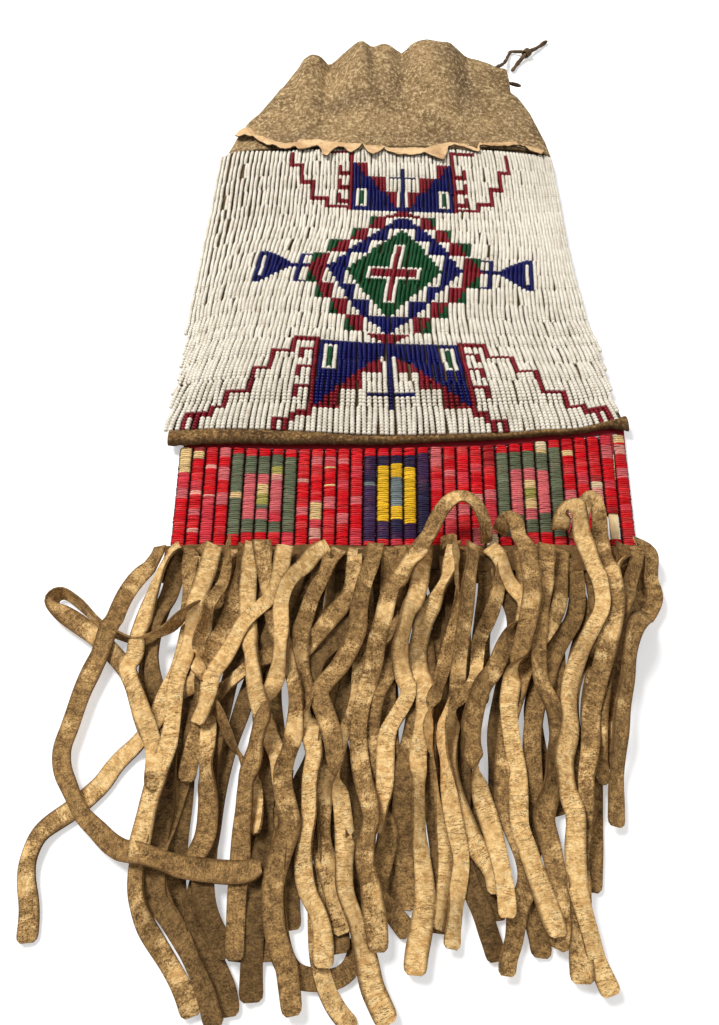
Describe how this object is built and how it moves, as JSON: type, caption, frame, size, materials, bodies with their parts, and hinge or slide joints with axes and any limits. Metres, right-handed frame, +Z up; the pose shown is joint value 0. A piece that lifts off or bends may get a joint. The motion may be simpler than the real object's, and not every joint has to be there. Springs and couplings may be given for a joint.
{
  "type": "pipe bag",
  "caption": "Flat hide pipe bag with a beaded front, quill wrapped rawhide slats, a long hide fringe and an open mouth with a drawstring.",
  "frame": {"origin": "underside of the back hide, in the middle of the beaded part", "axes": "+Z up from the surface that the bag lies on, +Y along the bag towards its mouth, +X across it to the right as seen from above with the mouth at the top"},
  "size_m": [0.2393, 0.5628, 0.03],
  "materials": {
    "smoked_hide": "smoked brown hide, suede side out",
    "pale_hide": "pale tan hide, dry and finely cracked",
    "raw_edge": "raw cut hide edge",
    "beads": "opaque glass seed beads, white ground with red, blue and green figures",
    "rawhide": "hard scraped rawhide",
    "quill_red": "flattened dyed quill, natural horn material",
    "quill_pink": "flattened dyed quill, faded",
    "quill_green": "flattened dyed quill",
    "quill_purple": "flattened dyed quill",
    "quill_yellow": "flattened dyed quill"
  },
  "bodies": {
    "root": {"back_fringe": "pale_hide", "back_hide": "smoked_hide", "bead_covering": "beads", "drawstring_thong": "smoked_hide", "front_fringe": "pale_hide", "front_hide": "smoked_hide", "hem_roll": "smoked_hide", "pinked_edging": "raw_edge", "quill_wrap_01": "quill_red", "quill_wrap_02": "quill_red", "quill_wrap_03": "quill_red", "quill_wrap_04": "quill_red", "quill_wrap_05": "quill_green", "quill_wrap_06": "quill_pink", "quill_wrap_07": "quill_pink", "quill_wrap_08": "quill_pink", "quill_wrap_09": "quill_green", "quill_wrap_10": "quill_red", "quill_wrap_11": "quill_red", "quill_wrap_12": "quill_red", "quill_wrap_13": "quill_red", "quill_wrap_14": "quill_red", "quill_wrap_15": "quill_purple", "quill_wrap_16": "quill_yellow", "quill_wrap_17": "quill_yellow", "quill_wrap_18": "quill_yellow", "quill_wrap_19": "quill_purple", "quill_wrap_20": "quill_red", "quill_wrap_21": "quill_red", "quill_wrap_22": "quill_red", "quill_wrap_23": "quill_red", "quill_wrap_24": "quill_red", "quill_wrap_25": "quill_green", "quill_wrap_26": "quill_pink", "quill_wrap_27": "quill_pink", "quill_wrap_28": "quill_pink", "quill_wrap_29": "quill_green", "quill_wrap_30": "quill_red", "quill_wrap_31": "quill_red", "quill_wrap_32": "quill_red", "quill_wrap_33": "quill_red", "quill_wrap_34": "quill_red", "quill_wrap_foot_33": "quill_red", "rawhide_comb": "rawhide", "thong_knot": "smoked_hide", "thong_tail": "smoked_hide", "upper_hide": "smoked_hide"}
  },
  "joints": []
}
